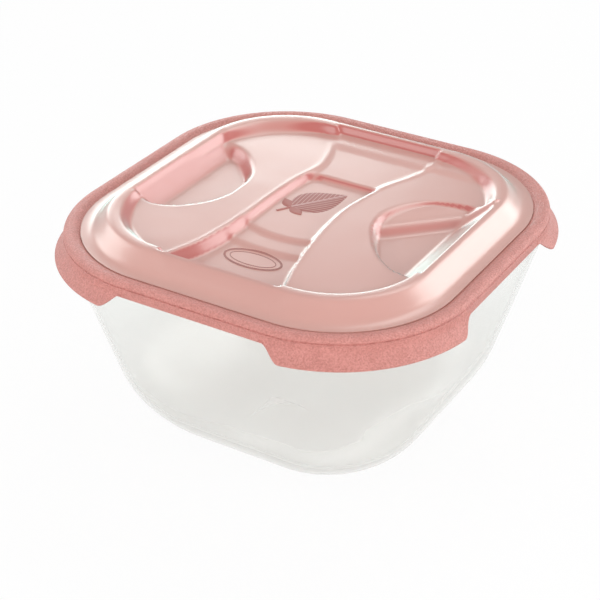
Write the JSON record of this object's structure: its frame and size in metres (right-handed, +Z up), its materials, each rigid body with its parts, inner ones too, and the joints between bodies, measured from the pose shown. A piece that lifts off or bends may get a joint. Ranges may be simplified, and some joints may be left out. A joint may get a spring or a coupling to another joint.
{
  "type": "snap lid food container",
  "caption": "Square clear plastic food bowl with rounded corners and a translucent snap lid with flexing corner tabs and two finger wells.",
  "frame": {"origin": "centre of the underside of the bowl", "axes": "+Z up out of the bowl, -Y towards the front side, +X to the right; the centre band of the lid runs along Y and the finger wells lie at -X and +X"},
  "size_m": [0.2082, 0.2082, 0.1212],
  "materials": {
    "bowl_plastic": "clear polypropylene, faintly milky",
    "lid_grained": "translucent coral polypropylene with a fine spark grain",
    "lid_window": "polished translucent coral polypropylene"
  },
  "bodies": {
    "bowl": {"tub": "bowl_plastic"},
    "lid": {"lid_rim": "lid_grained", "lid_panel": "lid_window"},
    "tab_back_right": {"corner_tab_back_right": "lid_grained"},
    "tab_back_left": {"corner_tab_back_left": "lid_grained"},
    "tab_front_left": {"corner_tab_front_left": "lid_grained"},
    "tab_front_right": {"corner_tab_front_right": "lid_grained"}
  },
  "joints": [
    {"name": "lid_lift", "type": "slide", "parent": "bowl", "child": "lid", "axis": [0, 0, 1], "range_m": [0, 0.08]},
    {"name": "tab_flex_back_right", "type": "hinge", "parent": "lid", "child": "tab_back_right", "pos_m": [0.08096, 0.08096, 0.1086], "axis": [0.7071, -0.7071, 0], "range_deg": [0, 12], "stiffness_Nm_per_rad": 0.15},
    {"name": "tab_flex_back_left", "type": "hinge", "parent": "lid", "child": "tab_back_left", "pos_m": [-0.08096, 0.08096, 0.1086], "axis": [0.7071, 0.7071, 0], "range_deg": [0, 12], "stiffness_Nm_per_rad": 0.15},
    {"name": "tab_flex_front_left", "type": "hinge", "parent": "lid", "child": "tab_front_left", "pos_m": [-0.08096, -0.08096, 0.1086], "axis": [-0.7071, 0.7071, 0], "range_deg": [0, 12], "stiffness_Nm_per_rad": 0.15},
    {"name": "tab_flex_front_right", "type": "hinge", "parent": "lid", "child": "tab_front_right", "pos_m": [0.08096, -0.08096, 0.1086], "axis": [-0.7071, -0.7071, 0], "range_deg": [0, 12], "stiffness_Nm_per_rad": 0.15}
  ]
}
